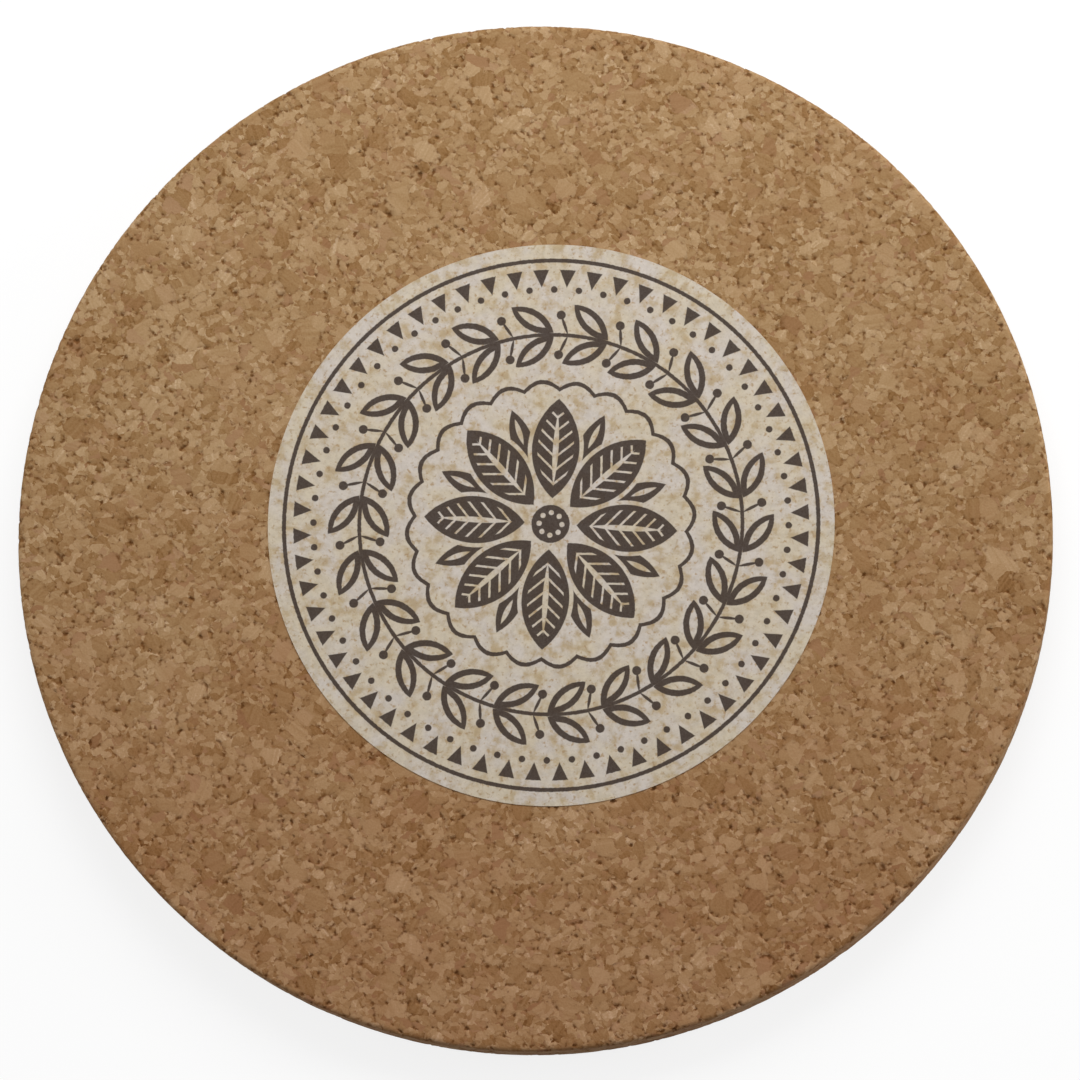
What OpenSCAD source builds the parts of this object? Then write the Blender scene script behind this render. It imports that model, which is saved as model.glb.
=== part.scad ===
// Round table trivet: a disc of pressed cork with a round paper label stuck to its top.
// Millimetres, +Z up. The origin is the centre of the face that rests on the table.

/* [Cork disc] */
// Diameter of the disc
disc_d = 200; // [160:1:300]
// Thickness of the disc
disc_t = 10; // [6:0.5:20]
// Radius to which the sharp rims are sanded
rim_r = 0.8; // [0.2:0.1:2.5]

/* [Paper label] */
// Diameter of the label
label_d = 109.5; // [60:0.5:130]
// Thickness of the printed paper
paper_t = 0.1; // [0.06:0.01:0.3]
// Thickness of the adhesive coat under the paper
adhesive_t = 0.03; // [0.02:0.01:0.1]
// How far the label was stuck to the right of the disc's axis
label_right = 3.4; // [-6:0.1:6]
// How far the label was stuck behind the disc's axis
label_back = 1.8; // [-6:0.1:6]

/* [Hidden] */
$fn = 180;

disc_r = disc_d / 2;
// The paper lies on the adhesive, and the adhesive lies on the cork
adhesive_z = disc_t;
paper_z = adhesive_z + adhesive_t;

// Half of the disc's cross-section, from its axis to its rounded rims
module disc_section() {
    square([disc_r - rim_r, disc_t]);
    translate([0, rim_r]) square([disc_r, disc_t - 2 * rim_r]);
    for (z = [rim_r, disc_t - rim_r])
        translate([disc_r - rim_r, z]) circle(r = rim_r);
}

// One round layer of the label, with its underside at height z
module label_layer(z, thickness) {
    translate([label_right, label_back, z]) cylinder(d = label_d, h = thickness);
}

// The block of bound cork granules that carries the hot pan
module cork_disc() {
    color("#A37F59") rotate_extrude() disc_section();
}

// The pressure-sensitive coat that holds the paper on the cork
module label_adhesive() {
    color("#D9CFB4") label_layer(adhesive_z, adhesive_t);
}

// The die-cut paper
module label_paper() {
    color("#C9BCAB") label_layer(paper_z, paper_t);
}

cork_disc();
label_adhesive();
label_paper();
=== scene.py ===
"""Looks of a round cork trivet with a paper label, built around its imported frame. Metres, +Z up."""
import math

import bmesh
import bpy
import numpy as np
from mathutils import Matrix, Vector


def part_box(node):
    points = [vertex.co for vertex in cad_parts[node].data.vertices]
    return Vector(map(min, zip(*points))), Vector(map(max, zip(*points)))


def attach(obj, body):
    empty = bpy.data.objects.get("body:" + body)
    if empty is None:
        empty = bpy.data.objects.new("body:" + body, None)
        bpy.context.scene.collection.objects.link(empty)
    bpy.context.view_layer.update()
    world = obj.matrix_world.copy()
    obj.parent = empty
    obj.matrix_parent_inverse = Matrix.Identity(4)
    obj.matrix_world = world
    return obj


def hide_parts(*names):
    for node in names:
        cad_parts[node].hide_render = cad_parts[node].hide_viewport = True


MM = 0.001
BLACK = (0.0, 0.0, 0.0, 1.0)
WHITE = (1.0, 1.0, 1.0, 1.0)

# The attribute that keeps each point's place before its relief, and the map made to bake the materials on
SMOOTH_PLACE = "smooth_place"
BAKE_MAP = "OFBake"

# Middle of a noise, and of a noise colour or a granule's random numbers
MIDDLE = 0.5
MIDDLES = (0.5, 0.5, 0.5)

# Cork disc: its rims, how near to a face a point lies on it, its voxels and the triangles it ends with
RIM_RADIUS = 0.8 * MM
RIM_POINTS = 256
RIM_STEPS = 6
ON_FACE = 0.2 * MM
VOXEL = 0.36 * MM
DISC_TRIANGLES = 190_000

# Granules, coarse ones lying over finer ones: size in mm, share of cells that hold one, stretch and turn
FINE_GRANULES = (1.1, 1.0, (1.0, 1.0, 1.3), (0.0, 0.0, 0.0))
COARSE_GRANULES = (
    (1.6, 0.42, (0.75, 1.35, 1.1), (0.3, 0.2, 0.7)),
    (2.0, 0.32, (1.5, 0.8, 1.2), (-0.2, 0.4, 1.1)),
    (3.0, 0.18, (1.0, 0.8, 1.2), (0.1, -0.3, 2.1)),
)

# Noises of the cork: scale to the mm, detail and roughness
WANDER_NOISE = (0.55, 1.0, 0.5)
FRAY_NOISE = (3.0, 1.0, 0.5)
HOLLOW_NOISE = (1.2, 1.0, 0.5)
CRUMB_NOISE = (2.4, 2.0, 0.6)
DRIFT_NOISE = (0.06, 1.0, 0.5)
WARMTH_NOISE = (0.13, 2.0, 0.5)

# How far granules wander and fray out of their cells, in mm, and what hollows and worn rims add to the lack
# of cork between them
WANDER_REACH = 1.3
FRAY_REACH = 0.45
HOLLOW_LACK = 1.5
RIM_LACK = 0.1

# Relief of the sanded cork in mm, all of it below the flat face
GRANULE_STEP = 0.05
SEAM_DEPTH = 0.05
PIT_DEPTH = 0.5

# Spans, from where something starts to where it is full: seams by the distance from a granule's core, in
# cells, and pits by the lack of cork. Wear runs the other way, and ends that far from a rim in mm
SEAM_SPAN = (0.55, 0.85)
OPEN_PIT_SPAN = (1.52, 2.02)
RIM_SPAN = (0.3, 2.2)

# The share of the thickness that is the underside, how much less lack it has, and how far the relief runs
# in under the label, in mm
UNDERSIDE = 0.02
UNDERSIDE_CALM = 0.2
LABEL_OVERLAP = 2.0

# Tones of the cork as screen levels, and what each thing adds to a granule's tone
CORK_TONES = (
    (0.0, (104, 66, 24)),
    (0.18, (137, 100, 58)),
    (0.50, (160, 127, 87)),
    (0.80, (178, 147, 109)),
    (1.0, (208, 180, 149)),
)
TONE_START = 0.215
TONE_SHARE = 0.57
STREAK_SHARE = 0.36
CRUMB_SHARE = 0.44
DRIFT_SHARE = 0.25

# Streaks of the grain within a granule, and how far apart on their noise two granules lie
STREAK_SCALE = 1.7
STREAK_DETAIL = 2.0
STREAK_APART = 90.0

# Layers of colour over the cork: the span of what brings them, the share they cover and screen levels
RUDDY_LAYER = ((0.82, 1.0), 0.5, (147, 104, 74))
WARM_LAYER = ((0.45, 0.75), 0.25, (155, 113, 76))
SEAM_LAYER = (SEAM_SPAN, 0.15, (96, 59, 18))
# Gaps and pits: a dark brown that is partly the cork's own colour and partly painted shade in its hollows
GAP_BROWN_AND_SHADE = ((1.36, 1.62), 0.22, (104, 64, 18))
PIT_BROWN_AND_SHADE = ((1.50, 1.84), 0.70, (102, 58, 6))

# Painted shade that makes the cork darker and redder to the front: its span from front to back in mm, how
# far that wanders, and its tint
FRONT_SHADE_SPAN = (-100.0, 40.0)
FRONT_SHADE_WANDER = 60.0
FRONT_SHADE_TINT = (0.967, 0.865, 0.85, 1.0)

# Finish of the cork
CORK_ROUGHNESS = 0.74
CRUMB_ROUGHNESS = 0.14
CORK_SHEEN = 0.2
CORK_BUMP = 0.045 * MM

# Label: how it was turned when it was stuck on, its mesh, and how deep the cork shows through the paper
LABEL_TURN = math.radians(-3.9)
LABEL_POINTS = 256
LABEL_CUTS = 1
LABEL_CREASE = math.radians(40)
EMBOSS_DEPTH = 0.03
EMBOSS_GRANULE = 0.35
EMBOSS_SEAM = 0.15
EMBOSS_SWELL = 0.5

# Noises of the paper and its adhesive: scale to the mm, detail and roughness
SWELL_NOISE = (0.35, 1.0, 0.5)
FIBRE_NOISE = (3.0, 2.0, 0.5)
CLOUD_NOISE = (0.17, 2.0, 0.5)
BLOTCH_NOISE = (0.42, 3.0, 0.6)
FLECK_NOISE = (1.1, 2.0, 0.6)
MOTTLE_NOISE = (0.85, 3.0, 0.65)
RAGGED_NOISE = (1.6, 2.0, 0.5)
ADHESIVE_NOISE = (0.4, 3.0, 0.5)

# Colours of the paper, as screen levels, and the layers over them, as on the cork
PAPER_GREY = (204, 194, 184)
PAPER_CREAM = (203, 190, 168)
CLOUD_SPAN = (0.35, 0.65)
BLOTCH_LAYER = ((0.46, 0.70), 0.85, (182, 159, 122))
FLECK_LAYER = ((0.55, 0.73), 0.8, (167, 138, 100))
FIBRE_LAYER = ((0.45, 0.8), 0.18, (160, 140, 116))
MOTTLE_SPAN = (0.34, 0.68)
MOTTLE_TINT = (0.89, 0.885, 0.88, 1.0)

# Ink: its colour, how well it covers, how the fibres break it, and its soft and ragged edges in mm
INK = (57, 44, 36)
INK_COVER = 0.97
INK_FIBRE = 0.12
INK_EDGE = 0.14
INK_RAGGED = 0.25

# Finish of the paper
PAPER_ROUGHNESS = 0.60
INK_SMOOTHNESS = 0.06
FIBRE_ROUGHNESS = 0.12
PAPER_SHEEN = 0.2
PAPER_BUMP = 0.02 * MM

# Adhesive: two colours as screen levels, and its finish
ADHESIVE_PALE = (226, 217, 192)
ADHESIVE_DARK = (206, 192, 158)
ADHESIVE_ROUGHNESS = 0.35
ADHESIVE_CLOUD = 0.2

# Print, in mm. A leaf is its start, length and width, a line round the label is its radius and width, and a
# dot is its place and radius
PETALS = 8
BROAD_PETAL = (5.0, 19.5, 9.2)
PETAL_VEIN = (7.5, 14.0, 1.1)
NARROW_PETAL = (10.5, 13.0, 4.2)
NARROW_SLIT = (16.4, 5.2, 1.0)
PETAL_GAP = 0.8
RIB_SLANT = 0.9
RIB_HALF_PITCH = 1.3
RIB_HALF_WIDTH = 0.27
RIB_MARGIN = 1.1
BOSS_RADIUS = 3.7
BOSS_BEAD = (2.2, 0.0, 0.5)

SCALLOP_WAVES = 12.0
SCALLOP_SWING = 1.5
SCALLOP_LINE = (26.3, 0.85)

LEAF_PAIRS = 22
STEM = (37.0, 0.75)
LEAF_ROOT = (-3.4, 0.3)
LEAF_TILT = 0.62
LEAF_BLADE = (0.0, 9.6, 4.0)
LEAF_HEART = (1.9, 6.2, 1.6)
STALK_ROOT = (-0.9, 0.0)
STALK_TILT = 1.18
STALK = (0.0, 4.2, 0.6)
BERRY = (0.7, 3.9, 0.88)

TEETH = 60
TOOTH_TIP = 46.3
TOOTH_BASE = 49.8
TOOTH_SLOPE = 1.55 / 3.5
TOOTH_BEAD = (45.9, 0.0, 0.65)
BORDER_LINE = (51.6, 0.8)

# Bake map of the disc: its width in unrolled discs, how far inside the label's edge the hidden cork and the
# underside lie, and the corner, shift in label radii and scale to the metre of the hidden cork
DISC_MAP_WIDTH = 1.01
HIDDEN_MARGIN = 1.5 * MM
UNDER_MARGIN = 7 * MM
HIDDEN_CORNER = 0.02
HIDDEN_SHIFT = 1.2
HIDDEN_SCALE = 0.15

# Bake map of the label: how far the print, the cut edge and the back reach, where the back lies, and how
# steep a face's normal is on the print and the back
PRINT_REACH = 0.485
EDGE_REACH = 0.488
EDGE_WIDTH = 0.01
BACK_PLACE = 0.085
BACK_REACH = 0.075
FACING = 0.5

# Photograph's view: the direction from the disc to the camera, its distance and the width it takes in
VIEW_AZIMUTH = math.radians(24.2)
VIEW_ELEVATION = math.radians(80.6)
VIEW_DISTANCE = 1.5
VIEW_WIDTH = 208.1 * MM
VIEW_CENTRE = Vector((1.36 * MM, -1.30 * MM, 0.0))
SENSOR = 36.0

# Studio: each lamp's name, place, size and power, the world's light and the floor
LAMPS = (
    ("key", (0.06, 0.42, 0.40), 0.45, 3.0),
    ("fill_right", (1.20, 0.21, 0.25), 0.6, 7.8),
    ("fill_left", (-1.20, 0.21, 0.25), 0.6, 3.8),
)
WORLD_LIGHT = 0.28
FLOOR_WIDTH = 8.0
FLOOR_DROP = 0.05 * MM
FLOOR_GREY = (0.2, 0.2, 0.2, 1.0)
FLOOR_GLOW = (0.82, 0.82, 0.82, 1.0)
FLOOR_ROUGHNESS = 0.9


class Value:
    """An output socket of a node tree. Arithmetic on it adds Math nodes to the same tree."""

    def __init__(self, tree, socket=None):
        self.tree = tree
        self.socket = socket

    def node(self, kind, settings=None, inputs=None, output=0):
        """Adds a node, sets it up, gives its sockets values or links, and returns one of its outputs."""
        made = self.tree.nodes.new(kind)
        for name, setting in (settings or {}).items():
            if name == "stops":
                set_stops(made.color_ramp, setting)
            else:
                setattr(made, name, setting)
        for key, value in (inputs or {}).items():
            if isinstance(value, Value):
                self.tree.links.new(value.socket, made.inputs[key])
            else:
                made.inputs[key].default_value = value
        return Value(self.tree, made.outputs[output] if made.outputs else None)

    def beside(self, output):
        """Another output of the same node."""
        return Value(self.tree, self.socket.node.outputs[output])

    def into(self, socket):
        self.tree.links.new(self.socket, socket)

    def math(self, operation, *others, clamp=False):
        settings = {"operation": operation, "use_clamp": clamp}
        return self.node("ShaderNodeMath", settings, dict(enumerate((self, *others))))

    def vector(self, operation, *others, output=0):
        inputs = dict(enumerate((self, *others)))
        if operation == "SCALE":
            inputs = {0: self, "Scale": others[0]}
        return self.node("ShaderNodeVectorMath", {"operation": operation}, inputs, output)

    def parts(self):
        """The three numbers of a vector."""
        first = self.node("ShaderNodeSeparateXYZ", None, {0: self})
        return first, first.beside(1), first.beside(2)

    def ramp(self, low, high):
        """0 below low and 1 above high, with a smooth rise between them."""
        settings = {"interpolation_type": "SMOOTHSTEP"}
        inputs = {"Value": self, "From Min": low, "From Max": high}
        return self.node("ShaderNodeMapRange", settings, inputs)

    def blend(self, a, b, kind="RGBA", mode="MIX"):
        """a where this value is 0 and b where it is 1, as colours, vectors or numbers."""
        settings = {"data_type": kind}
        if kind == "RGBA":
            settings["blend_type"] = mode
        first, output = {"FLOAT": (2, 0), "VECTOR": (4, 1), "RGBA": (6, 2)}[kind]
        inputs = {0: self, first: a, first + 1: b}
        return self.node("ShaderNodeMix", settings, inputs, output)

    def __add__(self, other):
        return self.math("ADD", other)

    def __sub__(self, other):
        return self.math("SUBTRACT", other)

    def __mul__(self, other):
        return self.math("MULTIPLY", other)

    def __truediv__(self, other):
        return self.math("DIVIDE", other)

    def __rsub__(self, other):
        return self.math("MULTIPLY_ADD", -1.0, other)

    def __lt__(self, other):
        return self.math("LESS_THAN", other)

    def __gt__(self, other):
        return self.math("GREATER_THAN", other)

    def __neg__(self):
        return self.math("MULTIPLY", -1.0)

    def __abs__(self):
        return self.math("ABSOLUTE")

    __radd__ = __add__
    __rmul__ = __mul__


def set_stops(ramp, stops):
    """Gives a colour ramp its stops, a list of positions and linear colours."""
    ramp.elements[0].position, ramp.elements[0].color = stops[0]
    ramp.elements[1].position, ramp.elements[1].color = stops[-1]
    for position, colour in stops[1:-1]:
        ramp.elements.new(position).color = colour


def screen(levels):
    """A colour's screen levels, 0 to 255, as linear light, opaque."""
    shares = [level / 255 for level in levels]
    return (*(s / 12.92 if s <= 0.04045 else ((s + 0.055) / 1.055) ** 2.4 for s in shares), 1.0)


def noise(place, scale, detail, roughness, output="Fac"):
    inputs = {"Vector": place, "Scale": scale, "Detail": detail, "Roughness": roughness}
    return place.node("ShaderNodeTexNoise", None, inputs, output)


def far(x, y):
    return (x * x + y * y).math("SQRT")


def paint(under, value, span, share, levels):
    """A colour over another: none of it below a value's span, and a share of it above."""
    return (value.ramp(*span) * share).blend(under, screen(levels))


def granules(place, size, share, stretch, turn):
    """One crowd of granules: three random numbers for each, where it lies, and how far its core is."""
    swung = place.node(
        "ShaderNodeVectorRotate",
        {"rotation_type": "EULER_XYZ"},
        {"Vector": place, "Rotation": turn},
    )
    cells = swung.vector("MULTIPLY", tuple(s / size for s in stretch))
    dice = cells.node("ShaderNodeTexVoronoi", None, {"Vector": cells, "Scale": 1.0}, "Color")
    return dice, dice.parts()[2] < share, dice.beside("Distance")


def rim_wear(place, disc_r, disc_t):
    """How far the cork has crumbled at a place in mm: 1 at the sanded rims and 0 away from them."""
    x, y, z = place.parts()
    inward = disc_r / MM - far(x, y)
    half_t = disc_t / MM / 2
    level = half_t - abs(z - half_t)
    return 1.0 - far(inward, level).ramp(*RIM_SPAN)


def cork(place, worn=0.0):
    """The cork at a place in mm: its granule's random numbers, how far that one's core is, and the lack of
    cork there, which is high between granules."""
    wander = noise(place, *WANDER_NOISE, output="Color").vector("SUBTRACT", MIDDLES)
    fray = noise(place, *FRAY_NOISE, output="Color").vector("SUBTRACT", MIDDLES)
    bent = place.vector("ADD", wander.vector("SCALE", WANDER_REACH))
    bent = bent.vector("ADD", fray.vector("SCALE", FRAY_REACH))
    dice, _, reach = granules(bent, *FINE_GRANULES)
    for crowd in COARSE_GRANULES:
        coarse_dice, there, coarse_reach = granules(bent, *crowd)
        dice = there.blend(dice, coarse_dice, "VECTOR")
        reach = there.blend(reach, coarse_reach, "FLOAT")
    lack = reach + noise(place, *HOLLOW_NOISE) * HOLLOW_LACK + worn * RIM_LACK
    return dice, reach, lack


def select_only(piece):
    bpy.ops.object.select_all(action="DESELECT")
    piece.select_set(True)
    bpy.context.view_layer.objects.active = piece


def select_edges(piece, wanted):
    """In edit mode, selects the edges whose two ends are both wanted."""
    mesh = bmesh.from_edit_mesh(piece.data)
    for edge in mesh.edges:
        edge.select_set(all(wanted(v.co) for v in edge.verts))
    bmesh.update_edit_mesh(piece.data)


def apply_modifier(piece, kind, **settings):
    select_only(piece)
    modifier = piece.modifiers.new(kind.lower(), kind)
    for name, setting in settings.items():
        setattr(modifier, name, setting)
    bpy.ops.object.modifier_apply(modifier=modifier.name)


def relief_tree(name, height_at):
    """A geometry tree that keeps each point's place on the smooth piece and moves it by a height in mm."""
    tree = bpy.data.node_groups.new(name, "GeometryNodeTree")
    tree.interface.new_socket("Mesh", in_out="INPUT", socket_type="NodeSocketGeometry")
    tree.interface.new_socket("Mesh", in_out="OUTPUT", socket_type="NodeSocketGeometry")
    start = Value(tree)
    mesh = start.node("NodeGroupInput")
    place = start.node("GeometryNodeInputPosition")
    normal = start.node("GeometryNodeInputNormal")
    kept = start.node(
        "GeometryNodeStoreNamedAttribute",
        {"data_type": "FLOAT_VECTOR", "domain": "POINT"},
        {"Geometry": mesh, "Name": SMOOTH_PLACE, "Value": place},
    )
    height = height_at(place.vector("SCALE", 1 / MM))
    offset = normal.vector("SCALE", height * MM)
    moved = start.node("GeometryNodeSetPosition", None, {"Geometry": kept, "Offset": offset})
    start.node("NodeGroupOutput", None, {0: moved})
    return tree


def apply_relief(piece, height_at):
    tree = relief_tree(piece.name + "_relief", height_at)
    apply_modifier(piece, "NODES", node_group=tree)
    bpy.data.node_groups.remove(tree)


def cork_relief(label_at, label_r, disc_r, disc_t):
    """Height of the cork's real surface over its sanded faces, in mm."""

    def height_at(place):
        worn = rim_wear(place, disc_r, disc_t)
        dice, reach, lack = cork(place, worn)
        x, y, z = place.parts()
        below = z < disc_t / MM * UNDERSIDE
        seam = reach.ramp(*SEAM_SPAN)
        faint = (dice.parts()[1] * GRANULE_STEP + seam * SEAM_DEPTH) * (1.0 - below)
        open_pit = lack - below * (1.0 - worn) * UNDERSIDE_CALM
        drop = faint + open_pit.ramp(*OPEN_PIT_SPAN) * PIT_DEPTH
        from_label = far(x - label_at.x / MM, y - label_at.y / MM)
        hidden = (from_label < label_r / MM - LABEL_OVERLAP) * (z > disc_t / MM / 2)
        return -drop * (1.0 - hidden)

    return height_at


def build_cork_disc(disc_r, disc_t, label_at, label_r):
    """The disc: turned to size, its rims sanded, and its granules, seams and pits cut in."""
    bpy.ops.object.select_all(action="DESELECT")
    bpy.ops.mesh.primitive_cylinder_add(
        vertices=RIM_POINTS, radius=disc_r, depth=disc_t, location=(0, 0, disc_t / 2)
    )
    disc = bpy.context.object
    disc.name = disc.data.name = "cork_granule_disc"
    bpy.ops.object.transform_apply()
    bpy.ops.object.mode_set(mode="EDIT")
    bpy.ops.mesh.select_mode(type="EDGE")
    bpy.ops.mesh.select_all(action="DESELECT")
    for face_z in (0.0, disc_t):
        select_edges(disc, lambda co: abs(co.z - face_z) < ON_FACE)
        bpy.ops.mesh.bevel(offset=RIM_RADIUS, segments=RIM_STEPS, affect="EDGES")
    bpy.ops.object.mode_set(mode="OBJECT")
    voxel = VOXEL
    apply_modifier(disc, "REMESH", mode="VOXEL", voxel_size=voxel)
    apply_relief(disc, cork_relief(label_at, label_r, disc_r, disc_t))
    apply_modifier(disc, "TRIANGULATE")
    share = DISC_TRIANGLES / len(disc.data.polygons)
    if share < 1:
        apply_modifier(disc, "DECIMATE", ratio=share)
    select_only(disc)
    bpy.ops.object.shade_smooth()
    apply_modifier(disc, "WEIGHTED_NORMAL", mode="FACE_AREA", keep_sharp=False)
    return disc


def paper_relief(middle_z):
    """Height of the paper's top over its flat face, in mm, where the cork's unevenness comes through."""

    def height_at(place):
        dice, reach, _ = cork(place)
        swell = noise(place, *SWELL_NOISE)
        dip = dice.parts()[1] * EMBOSS_GRANULE + reach.ramp(*SEAM_SPAN) * EMBOSS_SEAM + swell * EMBOSS_SWELL
        on_top = place.parts()[2] > middle_z / MM
        return -dip * EMBOSS_DEPTH * on_top

    return height_at


def build_label(low, high):
    """The paper: a die-cut round with the cork's unevenness showing through a little."""
    label_r = (high.x - low.x) / 2
    centre = (low + high) / 2
    bpy.ops.object.select_all(action="DESELECT")
    bpy.ops.mesh.primitive_circle_add(
        vertices=LABEL_POINTS, radius=label_r, location=(centre.x, centre.y, high.z)
    )
    label = bpy.context.object
    label.name = label.data.name = "printed_paper_label"
    bpy.ops.object.transform_apply()
    bpy.ops.object.mode_set(mode="EDIT")
    bpy.ops.mesh.select_all(action="SELECT")
    bpy.ops.mesh.fill_grid(span=LABEL_POINTS // 4)
    bpy.ops.mesh.select_all(action="SELECT")
    bpy.ops.mesh.subdivide(number_cuts=LABEL_CUTS)
    bpy.ops.mesh.normals_make_consistent(inside=False)
    bpy.ops.object.mode_set(mode="OBJECT")
    if label.data.polygons[0].normal.z < 0:
        bpy.ops.object.mode_set(mode="EDIT")
        bpy.ops.mesh.flip_normals()
        bpy.ops.object.mode_set(mode="OBJECT")
    apply_modifier(label, "SOLIDIFY", thickness=high.z - low.z, offset=-1.0)
    apply_relief(label, paper_relief(centre.z))
    select_only(label)
    bpy.ops.object.shade_smooth_by_angle(angle=LABEL_CREASE)
    return label


def gather(items, field, width, kind):
    """One field of all the points, corners or faces of a mesh, as rows of numbers."""
    values = np.empty(len(items) * width, kind)
    items.foreach_get(field, values)
    return values.reshape(-1, width)


def corner_places(mesh):
    """Where each corner of each face lies on the smooth piece, before its relief."""
    places = gather(mesh.attributes[SMOOTH_PLACE].data, "vector", 3, np.float32)
    return places[gather(mesh.loops, "vertex_index", 1, np.int32)[:, 0]]


def add_bake_map(mesh, uv):
    layer = mesh.uv_layers.new(name=BAKE_MAP)
    layer.data.foreach_set("uv", uv.astype(np.float32).ravel())


def lay_out_disc(disc, disc_r, disc_t, label_at, label_r):
    """The disc's own bake map: top and side as one round sheet, the underside in the label's hole."""
    places = corner_places(disc.data).reshape(-1, 3, 3)
    middle = places.mean(1)
    reach = np.hypot(middle[:, 0], middle[:, 1])
    under = middle[:, 2] < np.minimum(disc_r - reach, disc_t / 2)
    from_label = np.hypot(places[:, :, 0] - label_at.x, places[:, :, 1] - label_at.y)
    hidden = (from_label.max(1) < label_r - HIDDEN_MARGIN) & (middle[:, 2] > disc_t / 2)
    flat = places[:, :, :2].copy()
    radius = np.hypot(flat[:, :, 0], flat[:, :, 1])
    outward = flat / np.maximum(radius, 1e-9)[:, :, None]
    sheet = outward * (radius + disc_t - places[:, :, 2])[:, :, None]
    mirror = np.array([-1, 1])
    sheet[under] = np.array(label_at[:2]) + flat[under] * mirror * (label_r - UNDER_MARGIN) / disc_r
    uv = 0.5 + sheet / (2 * DISC_MAP_WIDTH * (disc_r + disc_t))
    uv[hidden] = HIDDEN_CORNER + (flat[hidden] + label_r * HIDDEN_SHIFT) * HIDDEN_SCALE
    add_bake_map(disc.data, uv)


def lay_out_label(label, low, high):
    """The label's own bake map: its printed face fills the square, and its back is a small round."""
    label_r = (high.x - low.x) / 2
    centre = (low + high) / 2
    mesh = label.data
    places = corner_places(mesh)
    flat = (places[:, :2] - np.array(centre[:2])) / label_r
    face_normals = gather(mesh.polygons, "normal", 3, np.float32)
    face_corners = gather(mesh.polygons, "loop_total", 1, np.int32)[:, 0]
    facing = np.repeat(face_normals[:, 2], face_corners)
    edge_drop = (high.z - places[:, 2]) / (high.z - low.z)
    uv = 0.5 + flat * PRINT_REACH
    edge = np.abs(facing) < FACING
    uv[edge] = 0.5 + flat[edge] * (EDGE_REACH + EDGE_WIDTH * edge_drop[edge])[:, None]
    back = facing < -FACING
    uv[back] = BACK_PLACE + flat[back] * BACK_REACH
    add_bake_map(mesh, uv)


def leaf(along, across, start, length, width):
    """Distance in mm to a pointed leaf that lies along an axis, negative inside it."""
    half = width / 2
    arc = (length ** 2 / 4 + half ** 2) / (2 * half)
    return far(along - (start + length / 2), abs(across) + (arc - half)) - arc


def ring(radius, at, width):
    """Distance in mm to a line round the label, negative inside it."""
    return abs(radius - at) - width / 2


def dot(x, y, at_x, at_y, radius):
    return far(x - at_x, y - at_y) - radius


def either(*shapes):
    joined = shapes[0]
    for shape in shapes[1:]:
        joined = joined.math("MINIMUM", shape)
    return joined


def without(shape, cut):
    return shape.math("MAXIMUM", -cut)


def around(radius, angle, count, between=False):
    """Outward and sideways distance within one of count equal sectors, or of those half a step on."""
    sector = math.pi / count
    within = (angle + (sector if between else 0.0)).math("WRAP", sector, -sector)
    return radius * within.math("COSINE"), radius * within.math("SINE")


def from_root(x, y, root, tilt):
    """Distances along and across a line that leaves its root at a tilt."""
    x, y = x - root[0], y - root[1]
    run, rise = math.cos(tilt), math.sin(tilt)
    return x * run + y * rise, y * run - x * rise


def rosette(radius, angle):
    """Broad ribbed petals, narrow slit ones between them and a beaded boss."""
    out, side = around(radius, angle, PETALS)
    broad = leaf(out, side, *BROAD_PETAL)
    vein = leaf(out, side, *PETAL_VEIN)
    rib = abs((out - abs(side) * RIB_SLANT).math("WRAP", RIB_HALF_PITCH, -RIB_HALF_PITCH)) - RIB_HALF_WIDTH
    ribs = rib.math("MAXIMUM", broad + RIB_MARGIN)
    boss = without(radius - BOSS_RADIUS, dot(out, side, *BOSS_BEAD))
    out, side = around(radius, angle, PETALS, between=True)
    narrow = without(leaf(out, side, *NARROW_PETAL), broad - PETAL_GAP)
    narrow = without(narrow, leaf(out, side, *NARROW_SLIT))
    return either(without(without(broad, vein), ribs), narrow, boss)


def scallops(radius, angle):
    """A line that swings out and in around the rosette."""
    swing = abs((angle * SCALLOP_WAVES).math("SINE"))
    return ring(radius - swing * SCALLOP_SWING, *SCALLOP_LINE)


def wreath(radius, angle):
    """A ring of paired open leaves on a stem, with stalked berries between the pairs."""
    out, side = around(radius, angle, LEAF_PAIRS)
    along, across = from_root(side, abs(out - STEM[0]), LEAF_ROOT, LEAF_TILT)
    blade = without(leaf(along, across, *LEAF_BLADE), leaf(along, across, *LEAF_HEART))
    out, side = around(radius, angle, LEAF_PAIRS, between=True)
    lift = abs(out - STEM[0])
    along, across = from_root(side, lift, STALK_ROOT, STALK_TILT)
    return either(blade, dot(side, lift, *BERRY), leaf(along, across, *STALK), ring(radius, *STEM))


def border(radius, angle):
    """Teeth that point inwards, beads between their tips and a line round them."""
    _, side = around(radius, angle, TEETH)
    tooth = (abs(side) - (radius - TOOTH_TIP) * TOOTH_SLOPE) / math.hypot(1.0, TOOTH_SLOPE)
    tooth = tooth.math("MAXIMUM", radius - TOOTH_BASE)
    out, side = around(radius, angle, TEETH, between=True)
    return either(tooth, dot(out, side, *TOOTH_BEAD), ring(radius, *BORDER_LINE))


def printed(spot, centre):
    """How much ink there is at a spot of the label, in mm from the frame's origin."""
    x, y, _ = spot.parts()
    x, y = x - centre.x / MM, y - centre.y / MM
    radius = far(x, y) + (noise(spot, *RAGGED_NOISE) - MIDDLE) * INK_RAGGED
    angle = y.math("ARCTAN2", x) - LABEL_TURN
    motifs = [motif(radius, angle) for motif in (rosette, scallops, wreath, border)]
    return (0.5 - either(*motifs) / INK_EDGE).math("ADD", 0.0, clamp=True)


def new_material(name):
    """A new material: itself, the start of its tree and its surface shader."""
    material = bpy.data.materials.new(name)
    material.use_nodes = True
    return material, Value(material.node_tree), material.node_tree.nodes["Principled BSDF"]


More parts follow.
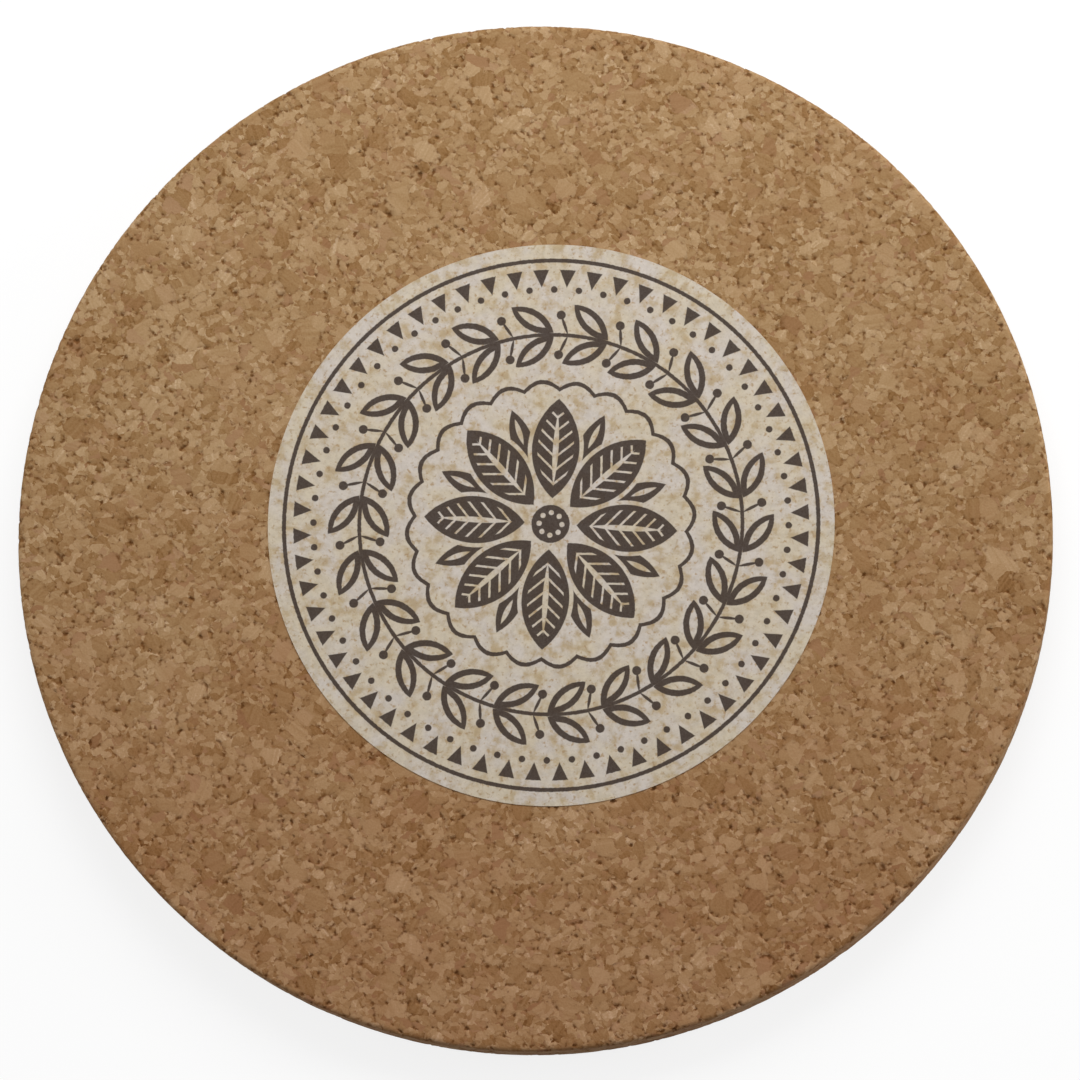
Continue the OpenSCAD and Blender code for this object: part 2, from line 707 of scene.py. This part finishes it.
def finish_surface(surface, colour, roughness, sheen, grain, depth):
    """Gives a surface its colour, roughness, sheen and the fine bump of its grain."""
    colour.into(surface.inputs["Base Color"])
    roughness.into(surface.inputs["Roughness"])
    surface.inputs["Specular IOR Level"].default_value = sheen
    bump = grain.node("ShaderNodeBump", None, {"Strength": 1.0, "Distance": depth, "Height": grain})
    bump.into(surface.inputs["Normal"])


def cork_material(disc_r, disc_t):
    """Pressed cork granules in tans and browns, with dark seams, with gaps and pits whose dark brown is
    partly painted shade, and painted shade that makes it darker and redder to the front.
    """
    material, start, surface = new_material("pressed_cork")
    smooth = start.node("ShaderNodeAttribute", {"attribute_name": SMOOTH_PLACE}, output="Vector")
    place = smooth.vector("SCALE", 1 / MM)
    dice, reach, lack = cork(place, rim_wear(place, disc_r, disc_t))
    tone_dice, hue_dice, _ = dice.parts()
    grain_way = dice.vector("SUBTRACT", MIDDLES).vector("NORMALIZE")
    along = place.vector("DOT_PRODUCT", grain_way, output="Value")
    streak = start.node(
        "ShaderNodeTexNoise",
        {"noise_dimensions": "1D"},
        {"W": along + tone_dice * STREAK_APART, "Scale": STREAK_SCALE, "Detail": STREAK_DETAIL},
    )
    crumb = noise(place, *CRUMB_NOISE)
    drift = noise(place, *DRIFT_NOISE)
    tone = tone_dice * TONE_SHARE + TONE_START
    for part, share in ((streak, STREAK_SHARE), (crumb, CRUMB_SHARE), (drift, DRIFT_SHARE)):
        tone = tone + (part - MIDDLE) * share
    stops = [(position, screen(levels)) for position, levels in CORK_TONES]
    colour = tone.node("ShaderNodeValToRGB", {"stops": stops}, {"Fac": tone})
    colour = paint(colour, hue_dice, *RUDDY_LAYER)
    colour = paint(colour, noise(place, *WARMTH_NOISE), *WARM_LAYER)
    colour = paint(colour, reach, *SEAM_LAYER)
    # Gaps and pits darkened, partly with their own brown and partly with painted shade of the hollows
    colour = paint(colour, lack, *GAP_BROWN_AND_SHADE)
    colour = paint(colour, lack, *PIT_BROWN_AND_SHADE)
    # Painted shade: the cork is tinted darker and redder towards the front
    front_shade = 1.0 - (place.parts()[1] + (drift - MIDDLE) * FRONT_SHADE_WANDER).ramp(*FRONT_SHADE_SPAN)
    colour = front_shade.blend(colour, FRONT_SHADE_TINT, mode="MULTIPLY")
    roughness = CORK_ROUGHNESS + crumb * CRUMB_ROUGHNESS
    finish_surface(surface, colour, roughness, CORK_SHEEN, crumb, CORK_BUMP)
    return material


def label_material(centre):
    """Satin flecked paper with a dark brown print: a rosette, a wreath and a toothed border."""
    material, start, surface = new_material("printed_label_paper")
    spot = start.node("ShaderNodeTexCoord", output="Object").vector("SCALE", 1 / MM)
    fibre = noise(spot, *FIBRE_NOISE)
    cloud = noise(spot, *CLOUD_NOISE)
    mottle = noise(spot, *MOTTLE_NOISE)
    paper = cloud.ramp(*CLOUD_SPAN).blend(screen(PAPER_GREY), screen(PAPER_CREAM))
    paper = paint(paper, noise(spot, *BLOTCH_NOISE), *BLOTCH_LAYER)
    paper = paint(paper, noise(spot, *FLECK_NOISE), *FLECK_LAYER)
    paper = paint(paper, fibre, *FIBRE_LAYER)
    paper = mottle.ramp(*MOTTLE_SPAN).blend(paper, MOTTLE_TINT, mode="MULTIPLY")
    ink = printed(spot, centre)
    cover = INK_COVER + (fibre - MIDDLE) * INK_FIBRE
    colour = (ink * cover).blend(paper, screen(INK))
    roughness = PAPER_ROUGHNESS - ink * INK_SMOOTHNESS + (fibre - MIDDLE) * FIBRE_ROUGHNESS
    finish_surface(surface, colour, roughness, PAPER_SHEEN, fibre, PAPER_BUMP)
    return material


def adhesive_material():
    """Dried adhesive, cloudy and pale."""
    material, start, surface = new_material("dried_adhesive")
    spot = start.node("ShaderNodeTexCoord", output="Object").vector("SCALE", 1 / MM)
    cloud = noise(spot, *ADHESIVE_NOISE)
    cloud.blend(screen(ADHESIVE_PALE), screen(ADHESIVE_DARK)).into(surface.inputs["Base Color"])
    (ADHESIVE_ROUGHNESS + cloud * ADHESIVE_CLOUD).into(surface.inputs["Roughness"])
    return material


def dress(piece, material):
    """Gives a piece its material."""
    piece.data.materials.clear()
    piece.data.materials.append(material)


def link_new(name, data):
    thing = bpy.data.objects.new(name, data)
    bpy.context.scene.collection.objects.link(thing)
    return thing


def aim(thing, place, target):
    """Puts a lamp or camera at a place, looking at a target, with the back of the trivet upwards."""
    back = (place - target).normalized()
    right = Vector((0, 1, 0)).cross(back).normalized()
    facing = Matrix((right, back.cross(right), back)).transposed().to_4x4()
    thing.matrix_world = Matrix.Translation(place) @ facing


def add_camera(target):
    camera = link_new("photo_view", bpy.data.cameras.new("photo_view"))
    level = math.cos(VIEW_ELEVATION)
    way = Vector(
        (math.sin(VIEW_AZIMUTH) * level, -math.cos(VIEW_AZIMUTH) * level, math.sin(VIEW_ELEVATION))
    )
    aim(camera, target + way * VIEW_DISTANCE, target)
    camera.data.sensor_width = SENSOR
    camera.data.lens = SENSOR * VIEW_DISTANCE / VIEW_WIDTH
    bpy.context.scene.camera = camera


def add_lamp(name, place, size, power):
    lamp = bpy.data.lights.new(name, "AREA")
    lamp.size = size
    lamp.energy = power
    aim(link_new(name, lamp), Vector(place), Vector((0, 0, 0)))


def seen(start):
    """1 where a surface is seen directly, mirrored or through glass, and 0 where it only lights others."""
    path = start.node("ShaderNodeLightPath", output="Is Camera Ray")
    mirrored = path.math("MAXIMUM", path.beside("Is Glossy Ray"))
    return mirrored.math("MAXIMUM", path.beside("Is Transmission Ray"))


def add_world():
    """Even light from all round, white where it is seen."""
    world = bpy.data.worlds.new("studio")
    world.use_nodes = True
    bpy.context.scene.world = world
    sky = world.node_tree.nodes["Background"]
    sky.inputs["Color"].default_value = WHITE
    seen(Value(world.node_tree)).blend(WORLD_LIGHT, 1.0, "FLOAT").into(sky.inputs["Strength"])


def add_floor():
    """A pale floor, lifted to white where it is seen, that still takes the trivet's shadow."""
    bpy.ops.object.select_all(action="DESELECT")
    bpy.ops.mesh.primitive_plane_add(size=FLOOR_WIDTH, location=(0, 0, -FLOOR_DROP))
    floor = bpy.context.object
    floor.name = "floor"
    material, start, surface = new_material("pale_floor")
    surface.inputs["Base Color"].default_value = FLOOR_GREY
    surface.inputs["Roughness"].default_value = FLOOR_ROUGHNESS
    surface.inputs["Specular IOR Level"].default_value = 0.0
    seen(start).blend(BLACK, FLOOR_GLOW).into(surface.inputs["Emission Color"])
    surface.inputs["Emission Strength"].default_value = 1.0
    floor.data.materials.append(material)


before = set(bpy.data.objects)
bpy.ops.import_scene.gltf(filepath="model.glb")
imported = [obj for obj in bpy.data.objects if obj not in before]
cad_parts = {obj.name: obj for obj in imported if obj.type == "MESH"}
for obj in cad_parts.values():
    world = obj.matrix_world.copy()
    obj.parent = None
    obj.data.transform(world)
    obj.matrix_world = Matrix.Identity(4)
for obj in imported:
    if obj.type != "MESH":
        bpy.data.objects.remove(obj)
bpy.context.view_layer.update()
disc_low, disc_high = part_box("cork_disc")
disc_radius = (disc_high.x - disc_low.x) / 2
disc_thickness = disc_high.z - disc_low.z
paper_low, paper_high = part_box("label_paper")
label_centre = (paper_low + paper_high) / 2
label_radius = (paper_high.x - paper_low.x) / 2

cork_piece = build_cork_disc(disc_radius, disc_thickness, label_centre, label_radius)
lay_out_disc(cork_piece, disc_radius, disc_thickness, label_centre, label_radius)
dress(cork_piece, cork_material(disc_radius, disc_thickness))
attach(cork_piece, "root")
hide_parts("cork_disc")

paper_piece = build_label(paper_low, paper_high)
lay_out_label(paper_piece, paper_low, paper_high)
dress(paper_piece, label_material(label_centre))
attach(paper_piece, "root")
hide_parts("label_paper")

dress(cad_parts["label_adhesive"], adhesive_material())

bpy.context.scene.view_settings.view_transform = "Standard"
add_floor()
add_world()
for lamp_setting in LAMPS:
    add_lamp(*lamp_setting)
add_camera(VIEW_CENTRE + Vector((0, 0, disc_high.z)))
